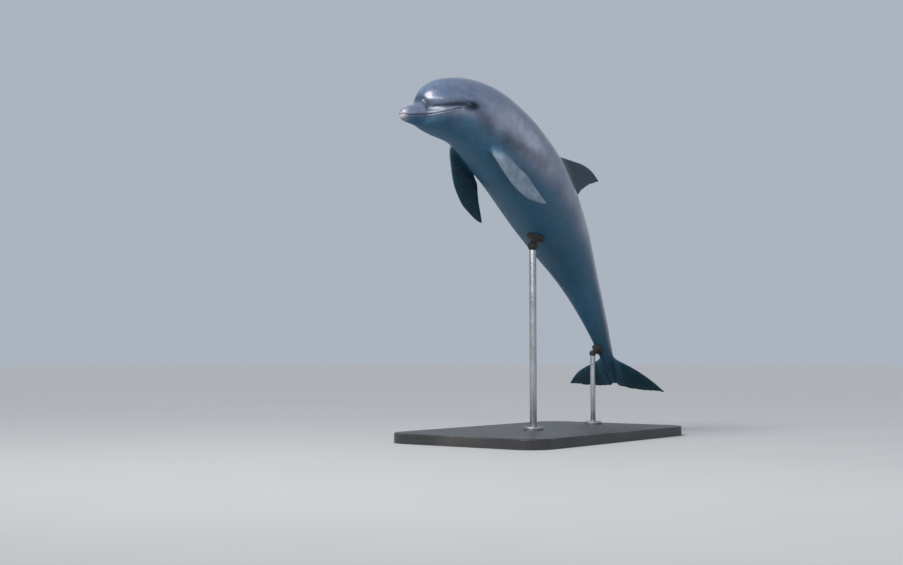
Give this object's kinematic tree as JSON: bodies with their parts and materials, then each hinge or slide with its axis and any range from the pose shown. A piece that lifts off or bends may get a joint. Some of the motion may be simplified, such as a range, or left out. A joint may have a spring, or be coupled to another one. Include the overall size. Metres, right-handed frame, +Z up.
{
  "type": "bottlenose dolphin model",
  "caption": "Life-size leaping bottlenose dolphin with arched back, turned head, flippers and flukes, held by slim rods on a flat display base.",
  "frame": {"origin": "centre of the stand's flat underside, on the floor", "axes": "+Z up, -X the way the dolphin heads, +X towards the flukes, -Y towards the dolphin's left flank"},
  "size_m": [1.9811, 0.9, 1.7349],
  "materials": {
    "skin": "wet, smooth grey skin of the head, back and flanks, painted on a cast body",
    "dark_skin": "wet, smooth dark slate skin of the tail and fins",
    "jaw_skin": "wet, smooth paler skin of the lower jaw and throat",
    "eye": "polished, nearly black with a dark brown iris",
    "base": "fibreboard, painted satin black",
    "steel": "brushed",
    "pad": "matte black"
  },
  "bodies": {
    "root": {"beak": "skin", "lower_jaw": "jaw_skin", "head": "skin", "eye_left": "eye", "eye_right": "eye", "neck": "skin", "chest": "skin", "abdomen": "skin", "tail_stock": "dark_skin", "tail_end": "dark_skin", "dorsal_fin": "dark_skin", "fluke_left": "dark_skin", "fluke_right": "dark_skin", "flipper_left": "skin", "flipper_right": "skin", "stand_base": "base", "stand_rod_front": "steel", "stand_rod_rear": "steel", "stand_collar_front": "steel", "stand_collar_rear": "steel", "stand_pad_front": "pad", "stand_pad_rear": "pad"}
  },
  "joints": []
}
